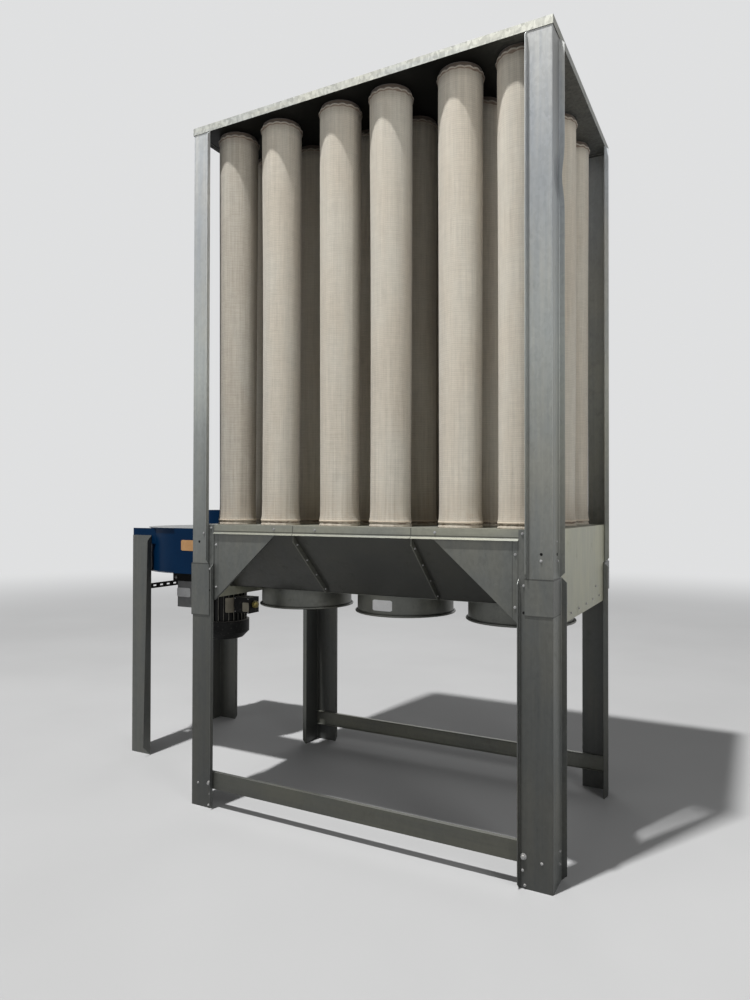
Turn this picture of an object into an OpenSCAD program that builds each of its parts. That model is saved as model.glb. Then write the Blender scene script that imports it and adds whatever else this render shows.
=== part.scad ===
// Open bag-filter unit with its fan, millimetres, Z up.
// Front of the filter faces -Y, the fan stands at the -X end.

/* [Filter frame] */
// width over the corner posts
frame_w = 1864; // [1200:2:2600]
// depth over the corner posts
frame_d = 1200; // [800:2:1600]
// height from floor to the top of the tray
frame_h = 3490; // [2400:10:4200]
// number of bays along the width
bays = 3; // [1:1:4]
// height of the joint between leg and post
joint_z = 1240; // [900:10:1500]

/* [Posts and legs] */
// sheet thickness of posts and legs
post_t = 3; // [2:0.5:5]
// flange width of the upper posts
post_flange = 108; // [60:1:160]
// flange width of the lower legs
leg_flange = 140; // [80:1:200]
// outward lip at each free flange edge
lip = 22; // [8:1:40]
// height of the joint plates
splice_h = 150; // [80:5:300]
// height of the longer plate at the front left
splice_long = 266; // [80:1:400]
// width of the joint plates
splice_w = 117; // [80:1:136]
// thickness of the joint plates
splice_t = 3; // [2:0.5:5]

/* [Top tray] */
// height of the rim
tray_edge = 37; // [20:1:80]
// overhang of the rim past the posts
tray_over = 3; // [0:1:10]
// width of the rim's upper return
tray_return = 14; // [6:1:24]
// width of the rim's lower return, on which the plate lies
tray_seat = 26; // [12:1:40]
// sheet thickness of tray, bases and panels
sheet_t = 2; // [1.5:0.5:4]

/* [Bag bases and hopper] */
// top of the bag bases
base_z = 1437; // [1200:1:1700]
// height of the base's front face
base_face = 36; // [20:1:80]
// drop of the flared lip below that face
flare_h = 10; // [5:1:30]
// run of the flared lip
flare_run = 12; // [4:1:25]
// top of the hopper floor
floor_z = 1088; // [900:1:1250]
// width of the hopper floor beside the outlet rings
floor_edge = 15; // [5:1:60]
// depth of the seam flanges on the slopes
seam_h = 24; // [10:1:50]
// lower edge of the end panels
panel_z = 1040; // [900:5:1080]

/* [Outlets] */
// inner diameter of the outlet rings
ring_d = 500; // [300:5:520]
// height of the outlet rings
ring_h = 106; // [50:1:200]
// wall of the outlet rings
ring_wall = 3; // [2:0.5:5]
// radius of the rolled bead
bead_r = 6; // [3:0.5:10]

/* [Gussets and braces] */
// length of a gusset along the base
gusset_run = 372; // [150:5:500]
// height of a gusset
gusset_drop = 335; // [150:5:420]
// width left at a gusset's lower end
gusset_foot = 138; // [40:2:200]
// depth of the return along a gusset's sloping edge
gusset_return = 14; // [6:1:30]
// lower edge of the braces
brace_z = 100; // [50:5:300]
// height of the braces
brace_h = 84; // [40:2:140]
// depth of the brace returns
brace_return = 20; // [8:1:40]

/* [Spigots] */
// outer diameter of the spigots that the bags are tied to
spigot_d = 192; // [110:2:230]
// height of the spigots
spigot_h = 35; // [15:1:80]

/* [Bags] */
// diameter of a bag
bag_d = 202; // [120:2:240]
// rows of bags from front to back
bag_rows = 4; // [2:1:5]
// distance between rows
row_pitch = 300; // [220:5:340]
// offset of a bag from the middle of its bay
bag_offset = 137; // [110:1:150]
// height of the caps that hold the bags
cap_h = 25; // [15:1:60]
// diameter of the caps
cap_d = 190; // [110:2:230]

/* [Fan] */
// fan axis, sideways from the filter's middle
fan_x = -1470; // [-1700:5:-1400]
// fan axis, back from the filter's front
fan_y = 895; // [800:5:1000]
// underside of the fan housing above the end panels' lower edges
volute_rise = 90; // [40:1:110]
// height of the fan housing
volute_h = 270; // [150:5:300]
// smallest radius of the spiral
volute_r = 285; // [240:5:300]
// growth of the spiral's radius each quarter turn
volute_step = 60; // [30:2:64]
// length of the solid tongue at the mouth
tongue_l = 40; // [20:1:41]
// width of the rim of its two plates
volute_rim = 10; // [4:1:14]
// inner diameter of the inlet collar
inlet_d = 250; // [160:5:320]
// height of the inlet collar
inlet_h = 107; // [50:1:200]
// width of the flange at the collar's foot
inlet_rim = 40; // [20:1:60]
// outer diameter of the impeller
wheel_d = 480; // [300:10:490]
// number of impeller blades
wheel_blades = 8; // [5:1:12]
// length of an impeller blade
blade_l = 130; // [80:2:140]
// height of an impeller blade
blade_h = 135; // [60:5:160]
// rake of the blades in degrees
blade_rake = 35; // [0:1:50]
// diameter of the impeller's hub
hub_d = 90; // [60:2:110]
// height of the impeller's hub
hub_h = 68; // [40:2:90]

/* [Fan stand and motor] */
// outer corner of the fan legs, sideways
stand_x = -1820; // [-1900:5:-1790]
// front of the front fan leg
stand_front = 435; // [400:5:438]
// back of the back fan leg
stand_back = 1275; // [1272:1:1340]
// width of the front fan leg's front flange
stand_flange = 160; // [80:1:162]
// its lip at the foot
stand_lip_foot = 60; // [22:1:80]
// its lip at the top
stand_lip_top = 32; // [10:1:60]
// tops of the fan legs above the housing's underside
stand_rise = 221; // [150:1:260]
// overlap of the housing's lugs with the legs
lug_hold = 51; // [20:1:100]
// height of the lugs
lug_h = 95; // [60:1:100]
// thickness of the lugs
lug_t = 4; // [3:0.5:8]
// side of the motor stool
stool_w = 460; // [380:10:560]
// height of the motor stool
stool_h = 80; // [40:5:120]
// diameter of the motor body
motor_d = 270; // [200:5:300]
// height of the fins
fin_h = 14; // [6:1:20]
// number of fins
fins = 28; // [12:1:36]
// length of the motor body
motor_l = 260; // [150:5:350]
// diameter of the motor shaft
shaft_d = 38; // [20:1:60]
// diameter of the holes round the shaft
shaft_hole_d = 136; // [70:2:200]
// thickness of the motor's mounting ring
ring_t = 12; // [6:1:30]
// diameter of the motor cowl
cowl_d = 330; // [260:5:360]
// length of the cowl
cowl_l = 116; // [60:2:180]
// length of the terminal box out from the motor
term_l = 120; // [60:5:160]
// width of the terminal box
term_w = 100; // [60:5:140]
// height of the terminal box
term_h = 100; // [60:5:140]
// terminal box above the motor's lower end
term_up = 60; // [20:5:120]
// front of the terminal box ahead of the fan's axis
term_front = 80; // [40:5:120]
// width of the switch box
switch_w = 190; // [100:5:200]
// depth of the switch box
switch_d = 60; // [30:2:64]
// height of the switch box
switch_h = 165; // [80:5:200]
// height of the slotted bar
strut_h = 34; // [24:1:50]
// drop of the slotted bar below the stool
strut_drop = 50; // [40:1:100]
// pitch of its slots
slot_pitch = 60; // [40:2:100]
// length of its slots
slot_l = 30; // [10:1:34]
// height of its slots
slot_h = 10; // [6:1:14]

/* [Hidden] */
$fn = 64;
gap = 0.3;
eps = 1;
bay_w = frame_w / bays;
in_x = frame_w / 2 - post_t;
tray_z = frame_h - tray_edge;
tray_w = frame_w + 2 * tray_over;
tray_d = frame_d + 2 * tray_over;
hop_top = base_z - base_face - flare_h;
front_y = post_t + gap;
back_y = frame_d - front_y;
mid_y = frame_d / 2;
slope_y = front_y + sheet_t + 2 * gap;
floor_w = ring_d + 2 * floor_edge;
floor_y = mid_y - floor_w / 2;
end_x = in_x - gap;
hop_x = end_x - sheet_t - gap;
cap_z = tray_z + sheet_t - cap_h;
v_out = 4 * volute_step;
v_r4 = volute_r + 3 * volute_step;
volute_z = panel_z + volute_rise;
stand_h = volute_z + stand_rise;
v_top = volute_z + volute_h;
lug_z = stand_h - lug_hold;
motor_z = volute_z - stool_h - motor_l;
cowl_z = motor_z - cowl_l;
wheel_z = volute_z + 4 * volute_rim;
v_front = fan_y - volute_step / 2 - v_r4;
left_x = fan_x - volute_step / 2 - volute_r - 2 * volute_step - volute_rim;
right_x = frame_w / 2 + lip;
front_edge = -lip;
back_edge = max(stand_back, frame_d) + lip;
org_x = -(left_x + right_x) / 2;
org_y = -(front_edge + back_edge) / 2;
steel = [0.52, 0.55, 0.55];
cloth = [0.66, 0.62, 0.55];
navy = [0.03, 0.12, 0.28];
black = [0.08, 0.08, 0.09];
motor_grey = [0.33, 0.34, 0.34];
box_grey = [0.50, 0.50, 0.49];

// Moves the measuring frame so that the origin is below the middle.
module put() translate([org_x, org_y, 0]) children();

// Centre of bay n, counted from the left.
function bay_x(n) = (n - (bays + 1) / 2) * bay_w;

// Row r of the bags, counted from the front.
function row_y(r) = mid_y + (r - (bag_rows + 1) / 2) * row_pitch;

// Folded L section w along X and v along Y: corner at 0, free edges bent outward
// by the lips a and lip.
module section(w, v, a) {
    polygon([
        [0, 0], [w - post_t, 0], [w - post_t, -a], [w, -a],
        [w, post_t], [post_t, post_t], [post_t, v],
        [-lip, v], [-lip, v - post_t], [0, v - post_t]
    ]);
}

// Wedge that trims the end of a lip of width a at 45 degrees, up or down.
module wedge(a, dir) {
    reach = a * 1.5;
    linear_extrude(post_t + 2 * eps)
        polygon([[0, 0], [-reach, 0], [-reach, dir * reach]]);
}

// Both wedges at one end of a section.
module trim(w, v, a, dir) {
    translate([w - post_t - eps, 0, 0]) rotate([90, 0, 90]) wedge(a, dir);
    translate([0, v + eps, 0]) rotate([90, 0, 0]) wedge(lip, dir);
}

// Post or leg with flanges w and v from z0 to z1 with trimmed lips.
module column(w, v, z0, z1, a = lip) {
    difference() {
        translate([0, 0, z0])
            linear_extrude(z1 - z0)
            section(w, v, a);
        translate([0, 0, z0]) trim(w, v, a, 1);
        translate([0, 0, z1]) trim(w, v, a, -1);
    }
}

// Sets children to the corner sx, sy of a rectangle.
module corner(x, y, sx, sy) {
    translate([x, y, 0])
        mirror([sx > 0 ? 1 : 0, 0, 0])
        mirror([0, sy > 0 ? 1 : 0, 0])
        children();
}

module frame_corner(sx, sy)
    corner(sx * frame_w / 2, sy > 0 ? frame_d : 0, sx, sy) children();

module post(sx, sy)
    color(steel) put() frame_corner(sx, sy)
    column(post_flange, post_flange, joint_z, tray_z);

module leg(sx, sy)
    color(steel) put() frame_corner(sx, sy)
    column(leg_flange, leg_flange, 0, joint_z);

module post_front_left() post(-1, -1);
module post_front_right() post(1, -1);
module post_back_left() post(-1, 1);
module post_back_right() post(1, 1);
module leg_front_left() leg(-1, -1);
module leg_front_right() leg(1, -1);
module leg_back_left() leg(-1, 1);
module leg_back_right() leg(1, 1);

// Angle plate of height h outside a leg's top, just under the joint.
module splice(h)
    translate([0, 0, joint_z - h])
    linear_extrude(h)
    difference() {
        translate([-splice_t - gap, -splice_t - gap])
            square(splice_w);
        translate([-gap, -gap]) square(splice_w);
    }

module splices() {
    color(steel) put() {
        frame_corner(-1, -1) splice(splice_long);
        frame_corner(1, -1) splice(splice_h);
        for (sx = [-1, 1]) frame_corner(sx, 1) splice(splice_h);
    }
}

// Box of height h from z, set in by r from the rim's outside.
module tray_space(r, z, h) {
    translate([r, r, z])
        cube([tray_w - 2 * r, tray_d - 2 * r, h]);
}

// Rim of a C section with the top plate lying on its lower return.
module top_tray() {
    color(steel) put()
        translate([-tray_w / 2, -tray_over, tray_z])
        difference() {
            tray_space(0, 0, tray_edge);
            tray_space(sheet_t, 2 * sheet_t, tray_edge - 3 * sheet_t);
            tray_space(tray_return, 2 * sheet_t, tray_edge);
            tray_space(tray_seat, -sheet_t, 2 * sheet_t);
        }
}

// Places children at every bag of row r.
module bag_places(r)
    for (n = [1:bays], s = [-1, 1])
    translate([bay_x(n) + s * bag_offset, row_y(r), 0]) children();

module top_caps() {
    color(black) put()
        for (r = [1:bag_rows])
        bag_places(r)
        translate([0, 0, cap_z])
        cylinder(d = cap_d, h = cap_h);
}

// Bags as closed solids, with a recess where the spigot goes in.
module bag_row(r) {
    color(cloth) put()
        bag_places(r)
        translate([0, 0, base_z + gap])
        difference() {
            cylinder(d = bag_d, h = cap_z - base_z - 2 * gap);
            translate([0, 0, -eps])
                cylinder(d = spigot_d + 2 * gap, h = spigot_h + eps);
        }
}

module bag_row_1() bag_row(1);
module bag_row_2() bag_row(2);
module bag_row_3() bag_row(3);
module bag_row_4() bag_row(4);

// Left edge of what belongs to bay n, between the end panels.
function cell_x0(n) = n == 1 ? -hop_x : bay_x(n) - bay_w / 2 + gap;
function cell_x1(n) = n == bays ? hop_x : bay_x(n) + bay_w / 2 - gap;
function cell_w(n) = cell_x1(n) - cell_x0(n);

// Places children at the bags of bay n.
module bay_places(n)
    for (r = [1:bag_rows], s = [-1, 1])
    translate([bay_x(n) + s * bag_offset, row_y(r), 0]) children();

// Base that carries the bags of one bay, with a flared lip front and back.
module bag_base(n) {
    low = base_z - base_face;
    color(steel) put() {
        difference() {
            union() {
                translate([cell_x0(n), front_y, low])
                    cube([cell_w(n), back_y - front_y, base_face]);
                bay_places(n)
                    translate([0, 0, base_z - sheet_t])
                    cylinder(d = spigot_d, h = spigot_h + sheet_t);
            }
            translate([cell_x0(n) + sheet_t, front_y + sheet_t, low - eps])
                cube([cell_w(n) - 2 * sheet_t, back_y - front_y - 2 * sheet_t,
                    base_face + eps - sheet_t]);
            bay_places(n)
                translate([0, 0, low])
                cylinder(d = spigot_d - 2 * sheet_t, h = base_face + spigot_h + eps);
        }
        flare(n);
        translate([0, frame_d, 0]) mirror([0, 1, 0]) flare(n);
    }
}

// Lip below the base's face, bent out between the posts.
module flare(n) {
    z = base_z - base_face;
    reach = frame_w / 2 - leg_flange - gap;
    x0 = max(cell_x0(n), -reach);
    x1 = min(cell_x1(n), reach);
    translate([x0, 0, 0])
        rotate([90, 0, 90])
        linear_extrude(x1 - x0)
        polygon([
            [front_y, z], [front_y + sheet_t, z],
            [front_y + sheet_t - flare_run, z - flare_h],
            [front_y - flare_run, z - flare_h]
        ]);
}

module bag_base_1() bag_base(1);
module bag_base_2() bag_base(2);
module bag_base_3() bag_base(3);

// Sloping sheet of one bay with a bolted seam flange at each side.
module hopper_side(n) {
    w = cell_w(n);
    run = floor_y - slope_y;
    drop = hop_top - floor_z;
    len = norm([run, drop]);
    thick = sheet_t * len / drop;
    seam = seam_h * len / run;
    inset = sheet_t + gap;
    translate([cell_x0(n), 0, 0])
        rotate([90, 0, 90]) {
            linear_extrude(w)
                polygon([
                    [slope_y, hop_top],
                    [slope_y + thick, hop_top],
                    [floor_y + thick, floor_z],
                    [floor_y, floor_z]
                ]);
            for (x = [0, w - sheet_t])
                translate([0, 0, x])
                linear_extrude(sheet_t)
                polygon([
                    [slope_y, hop_top],
                    [slope_y, hop_top - seam],
                    [floor_y - seam * run / drop, floor_z],
                    [floor_y, floor_z]
                ]);
            translate([0, 0, inset])
                linear_extrude(w - 2 * inset)
                translate([slope_y, hop_top - eps])
                square([sheet_t, base_z - inset - hop_top + eps]);
        }
}

module hopper_front(n) color(steel) put() hopper_side(n);

module hopper_back(n)
    color(steel) put() translate([0, frame_d, 0]) mirror([0, 1, 0]) hopper_side(n);

module hopper_front_1() hopper_front(1);
module hopper_front_2() hopper_front(2);
module hopper_front_3() hopper_front(3);
module hopper_back_1() hopper_back(1);
module hopper_back_2() hopper_back(2);
module hopper_back_3() hopper_back(3);

// Hopper floor of one bay with its outlet ring and rolled bead.
module outlet(n) {
    ring_z = floor_z - sheet_t - ring_h;
    color(steel) put() {
        difference() {
            union() {
                translate([cell_x0(n), floor_y - sheet_t, floor_z - sheet_t - gap])
                    cube([cell_w(n), floor_w + 2 * sheet_t, sheet_t]);
                translate([bay_x(n), mid_y, ring_z - gap])
                    cylinder(d = ring_d + 2 * ring_wall, h = ring_h + eps);
            }
            translate([bay_x(n), mid_y, ring_z - eps])
                cylinder(d = ring_d, h = ring_h + sheet_t + 3 * eps);
        }
        translate([bay_x(n), mid_y, ring_z + bead_r])
            rotate_extrude()
            translate([ring_d / 2 + ring_wall + bead_r - gap, 0])
            circle(bead_r, $fn = 24);
    }
}

module outlet_1() outlet(1);
module outlet_2() outlet(2);
module outlet_3() outlet(3);

// Flat end panel; the left one is cut out for the fan's duct.
module end_panel() {
    translate([0, front_y, panel_z])
        cube([sheet_t, back_y - front_y, base_z - panel_z]);
}

module end_panel_right()
    color(steel) put() translate([end_x - sheet_t, 0, 0]) end_panel();

module end_panel_left() {
    color(steel) put()
        difference() {
            translate([-end_x, 0, 0]) end_panel();
            translate([-end_x - eps, v_front + post_t, volute_z + post_t])
                cube([sheet_t + 2 * eps, v_out - 2 * post_t, volute_h - 2 * post_t]);
        }
}

// Corner plates in the plane of the base's face, with a return along the
// sloping edge, and straps that cover the gap between base and post.
module gusset_pair() {
    slope = gusset_run / gusset_drop;
    wide = sheet_t * norm([1, slope]);
    edge = -gusset_run - gusset_foot;
    strap_x = frame_w / 2 - leg_flange;
    strap_w = leg_flange - post_flange - gap;
    for (s = [0, 1])
        mirror([s, 0, 0]) {
            translate([hop_x, front_y + sheet_t, hop_top - gap])
                rotate([90, 0, 0])
                linear_extrude(sheet_t)
                polygon([
                    [0, 0], [edge, 0],
                    [-gusset_foot, -gusset_drop], [0, -gusset_drop]
                ]);
            translate([hop_x, front_y + gusset_return, hop_top - gap])
                rotate([90, 0, 0])
                linear_extrude(gusset_return)
                polygon([
                    [edge + seam_h * slope, -seam_h],
                    [edge + seam_h * slope + wide, -seam_h],
                    [-gusset_foot + wide, -gusset_drop], [-gusset_foot, -gusset_drop]
                ]);
            translate([strap_x, front_y - gap - sheet_t, joint_z + gap])
                cube([strap_w, sheet_t, base_z - joint_z - gap]);
        }
}

module gussets_front() color(steel) put() gusset_pair();

module gussets_back()
    color(steel) put() translate([0, frame_d, 0]) mirror([0, 1, 0]) gusset_pair();

// Channel between two legs, open to the inside.
module brace() {
    translate([-end_x, front_y, brace_z])
        difference() {
            cube([2 * end_x, brace_return, brace_h]);
            translate([-eps, sheet_t, sheet_t])
                cube([2 * end_x + 2 * eps, brace_return, brace_h - 2 * sheet_t]);
        }
}

module brace_front() color(steel) put() brace();

module brace_back()
    color(steel) put() translate([0, frame_d, 0]) mirror([0, 1, 0]) brace();

// Outline of the spiral from four tangent arcs, grown by g.
module spiral(g, h) {
    s = volute_step;
    quarter(s / 2, s / 2, volute_r + g, 1, -1, h);
    quarter(-s / 2, s / 2, volute_r + s + g, 1, 1, h);
    quarter(-s / 2, -s / 2, volute_r + 2 * s + g, -1, 1, h);
    quarter(s / 2, -s / 2, v_r4 + g, -1, -1, h);
    translate([-s / 2, -s / 2, 0]) cube([s, s, h]);
}

module quarter(cx, cy, r, sx, sy, h) {
    intersection() {
        translate([cx, cy, 0]) cylinder(r = r, h = h, $fn = 96);
        translate([cx - (sx < 0 ? r + eps : 0), cy - (sy < 0 ? r + eps : 0), 0])
            cube([r + eps, r + eps, h]);
    }
}

// Straight mouth of the housing, as far as the duct.
module mouth(g, h, extra) {
    translate([volute_step / 2, -volute_step / 2 - v_r4 - g, 0])
        cube([volute_r + extra, v_out + 2 * g, h]);
}

// Flat lug from the housing's wall to a leg of the stand.
module lug(y, x1) {
    x0 = stand_x + post_t + gap;
    translate([x0 - fan_x, y - fan_y, lug_z - volute_z])
        cube([x1 - x0 + fan_x, lug_t, lug_h]);
}

module fan_housing() {
    t = post_t;
    color(navy) put() translate([fan_x, fan_y, volute_z]) {
        difference() {
            union() {
                spiral(0, volute_h);
                mouth(0, volute_h, 0);
                translate([volute_step / 2, v_out - volute_step / 2 - v_r4 - t, 0])
                    cube([tongue_l, 2 * t, volute_h]);
                spiral(volute_rim, t);
                translate([0, 0, volute_h - t]) spiral(volute_rim, t);
                lug(stand_front + t + gap, -volute_r / 3);
                lug(stand_back - t - gap - lug_t, -volute_step / 2);
            }
            translate([0, 0, t]) {
                spiral(-t, volute_h - 2 * t);
                mouth(-t, volute_h - 2 * t, eps);
            }
            translate([0, 0, volute_h - t - eps])
                cylinder(d = inlet_d, h = t + 2 * eps);
            translate([0, 0, -eps])
                cylinder(d = shaft_hole_d, h = t + 2 * eps);
        }
    }
}

// Duct from the housing's mouth into the hopper.
module fan_duct() {
    x0 = fan_x + volute_step / 2 + volute_r + gap;
    x1 = -end_x - gap;
    y0 = v_front;
    color(steel) put() translate([x0, y0, volute_z])
        difference() {
            union() {
                cube([x1 - x0, v_out, volute_h]);
                translate([0, -volute_rim, -volute_rim])
                    cube([post_t, v_out + 2 * volute_rim, volute_h + 2 * volute_rim]);
            }
            translate([-eps, post_t, post_t])
                cube([x1 - x0 + 2 * eps, v_out - 2 * post_t, volute_h - 2 * post_t]);
        }
}

// Round collar on top of the housing.
module fan_inlet() {
    color(navy) put() translate([fan_x, fan_y, v_top + gap])
        difference() {
            union() {
                cylinder(d = inlet_d + 2 * post_t, h = inlet_h);
                cylinder(d = inlet_d + 2 * inlet_rim, h = post_t);
            }
            translate([0, 0, -eps]) cylinder(d = inlet_d, h = inlet_h + 2 * eps);
        }
}

// Open wheel: back plate, hub and raked blades.
module fan_wheel() {
    color(motor_grey) put() translate([fan_x, fan_y, wheel_z]) {
        cylinder(d = wheel_d, h = post_t);
        cylinder(d = hub_d, h = hub_h);
        for (i = [0:wheel_blades - 1])
            rotate([0, 0, i * 360 / wheel_blades])
            translate([hub_d, 0, 0])
            rotate([0, 0, -blade_rake])
            translate([0, -post_t / 2, 0])
            cube([blade_l, post_t, blade_h]);
    }
}

// Box-shaped stool between housing and motor.
module fan_stool() {
    t = 2 * post_t;
    color(black) put() translate([fan_x, fan_y, volute_z - stool_h - gap])
        difference() {
            translate([-stool_w / 2, -stool_w / 2, 0]) cube([stool_w, stool_w, stool_h]);
            translate([-stool_w / 2 + t, -stool_w / 2 + t, t])
                cube([stool_w - 2 * t, stool_w - 2 * t, stool_h]);
            translate([0, 0, -eps]) cylinder(d = shaft_hole_d, h = t + 2 * eps);
        }
}

// Motor body with upright fins, hanging from the stool.
module fan_motor() {
    top = volute_z - stool_h - 2 * gap;
    color(motor_grey) put() translate([fan_x, fan_y, 0]) {
        translate([0, 0, motor_z]) cylinder(d = motor_d, h = top - motor_z);
        translate([0, 0, top - eps])
            cylinder(d = shaft_d, h = wheel_z - gap - top + eps);
        translate([0, 0, top - ring_t])
            cylinder(d = motor_d + 4 * fin_h, h = ring_t);
        for (i = [0:fins - 1])
            rotate([0, 0, i * 360 / fins])
            translate([motor_d / 2 - eps, -post_t / 2, motor_z])
            cube([fin_h + eps, post_t, top - motor_z - 2 * ring_t]);
    }
}

// Cowl over the motor's own cooling fan, with an edge taper.
module motor_cowl() {
    h = cowl_l - gap;
    edge = h / 3;
    color(black) put() translate([fan_x, fan_y, cowl_z])
        rotate_extrude()
        polygon([
            [0, 0], [cowl_d / 2 - edge, 0], [cowl_d / 2, edge],
            [cowl_d / 2, h], [0, h]
        ]);
}

module terminal_box() {
    x0 = fan_x + motor_d / 2 + fin_h + gap;
    color(box_grey) put() translate([x0, fan_y - term_front, motor_z + term_up])
        cube([term_l, term_w, term_h]);
}

module switch_box() {
    color(box_grey) put()
        translate([fan_x - switch_w, fan_y - stool_w / 2,
            volute_z - stool_h - switch_h - 2 * gap])
        cube([switch_w, switch_d, switch_h]);
}

// Front fan leg, whose front lip narrows to the top.
module fan_leg_front() {
    color(steel) put()
        corner(stand_x, stand_front, -1, -1)
        difference() {
            column(stand_flange, post_flange, 0, stand_h, stand_lip_foot);
            translate([stand_flange - post_t - eps, 0, 0])
                rotate([90, 0, 90])
                linear_extrude(post_t + 2 * eps)
                polygon([
                    [-stand_lip_foot, 0], [-stand_lip_top, stand_h],
                    [-stand_lip_foot - eps, stand_h], [-stand_lip_foot - eps, 0]
                ]);
        }
}

module fan_leg_back()
    color(steel) put()
    corner(stand_x, stand_back, -1, 1)
    column(leg_flange, post_flange, 0, stand_h);

// Slotted bar between the two fan legs.
module fan_strut() {
    x0 = stand_x + post_t + gap;
    y0 = stand_front + post_t + gap;
    y1 = stand_back - post_t - gap;
    color(black) put() translate([x0, y0, volute_z - stool_h - strut_drop])
        difference() {
            cube([2 * post_t, y1 - y0, strut_h]);
            for (y = [slot_pitch:slot_pitch:y1 - y0 - slot_pitch])
                translate([-eps, y - slot_l / 2, (strut_h - slot_h) / 2])
                cube([2 * post_t + 2 * eps, slot_l, slot_h]);
        }
}

top_tray();
top_caps();
bag_base_1();
bag_base_2();
bag_base_3();
bag_row_1();
bag_row_2();
bag_row_3();
bag_row_4();
post_front_left();
post_front_right();
post_back_left();
post_back_right();
leg_front_left();
leg_front_right();
leg_back_left();
leg_back_right();
splices();
hopper_front_1();
hopper_front_2();
hopper_front_3();
hopper_back_1();
hopper_back_2();
hopper_back_3();
outlet_1();
outlet_2();
outlet_3();
end_panel_left();
end_panel_right();
gussets_front();
gussets_back();
brace_front();
brace_back();
fan_housing();
fan_duct();
fan_inlet();
fan_wheel();
fan_stool();
fan_motor();
motor_cowl();
terminal_box();
switch_box();
fan_leg_front();
fan_leg_back();
fan_strut();
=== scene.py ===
import math

import bmesh
import bpy
import numpy as np
from mathutils import Euler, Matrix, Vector


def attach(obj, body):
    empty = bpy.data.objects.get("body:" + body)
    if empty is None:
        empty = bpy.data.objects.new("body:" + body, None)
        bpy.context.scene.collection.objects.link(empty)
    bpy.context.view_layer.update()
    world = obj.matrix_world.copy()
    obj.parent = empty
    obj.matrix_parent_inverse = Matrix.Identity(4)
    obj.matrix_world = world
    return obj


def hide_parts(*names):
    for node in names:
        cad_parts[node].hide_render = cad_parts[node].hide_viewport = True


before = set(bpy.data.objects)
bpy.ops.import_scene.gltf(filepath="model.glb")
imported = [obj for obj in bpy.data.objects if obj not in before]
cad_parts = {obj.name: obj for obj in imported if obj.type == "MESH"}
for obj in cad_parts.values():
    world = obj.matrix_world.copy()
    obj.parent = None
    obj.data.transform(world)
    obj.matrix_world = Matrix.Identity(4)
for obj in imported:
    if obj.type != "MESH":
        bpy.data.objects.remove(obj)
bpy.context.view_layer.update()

# Measures

# Millimetres from the middle of the frame's front at floor level: x to the
# right, y to the back, z up. at() turns them into metres in the row frame.
SHIFT = Vector((0.4805, -0.6375, 0.0))
FRAME_W, FRAME_D = 1864, 1200
SIDE_X = FRAME_W / 2
HALF_W, HALF_D = FRAME_W / 2000, FRAME_D / 2000  # metres, for the materials
BAY_W = round(FRAME_W / 3, 2)
SEAM_X = round(FRAME_W / 6, 2)  # joints between the bays, from the middle
JOINT_Z, TRAY_Z, BASE_Z = 1240, 3453, 1437
POST_FACE, LEG_FACE, POST_T, LIP, GAP = 108, 140, 3, 22, 0.3
SHEET_Y, PANEL_X = POST_T + GAP, SIDE_X - POST_T - GAP  # faces of bases and end panels
# Depth and height of the upper and lower edges of a hopper slope's face.
SLOPE_NEAR, SLOPE_FAR, SLOPE_TOP, SLOPE_LOW = 5.9, 335.0, 1391.0, 1088.0
RING_R = 253  # outer radius of the outlet rings
BAG_R, BAG_T, BAG_TOP = 101, 1.3, 3454
BAG_OFFSET, ROW_PITCH = 137, 300
BAG_X = [round(bay * BAY_W + side * BAG_OFFSET, 2) for bay in (-1, 0, 1) for side in (-1, 1)]
BAG_Y = [FRAME_D / 2 + (row - 1.5) * ROW_PITCH for row in range(4)]
TIE_Z, BEAD_Z, RIM_Z = 1451.5, 1461, 3424  # a bag's tie, the bead above it and its rim
FAN_X, FAN_Y = -1470, 895
MOTOR_R, FIN_H = 135, 14
COLLAR_Z, COLLAR_BOLTS_R = 1403.3, 147
# Faces of the stool, the terminal box and the housing, away from the fan's axis.
STOOL_HALF, TERM_FRONT, HOUSING_FRONT = 230, 80, 495
STAND_X, STAND_FRONT, STAND_BACK, STAND_H = -1820, 435, 1275, 1351
STAND_FACE, STAND_LIPS = 160, (58.8, 32.7)


def at(x, y, z):
    """A point in metres from its millimetres."""
    return Vector((x, y, z)) / 1000 + SHIFT


def placed(points):
    """An array of points in metres from their millimetres."""
    return np.asarray(points, float) / 1000 + np.array(SHIFT)


# Camera

# Its lens, place and turn were fitted to corners of the frame in the photo.
PITCH, ROLL, TURN = 0.0100130, -0.0018071, 0.4887686
camera = bpy.data.objects.new("camera", bpy.data.cameras.new("camera"))
camera.data.sensor_fit = "VERTICAL"
camera.data.sensor_height = 36
camera.data.lens = 25.81
camera.location = (2.12153, -3.46843, 1.52706)
camera.rotation_euler = Euler((math.pi / 2 + PITCH, ROLL, TURN))
bpy.context.scene.collection.objects.link(camera)
bpy.context.scene.camera = camera
bpy.context.scene.view_settings.view_transform = "Standard"


# Nodes


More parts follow.
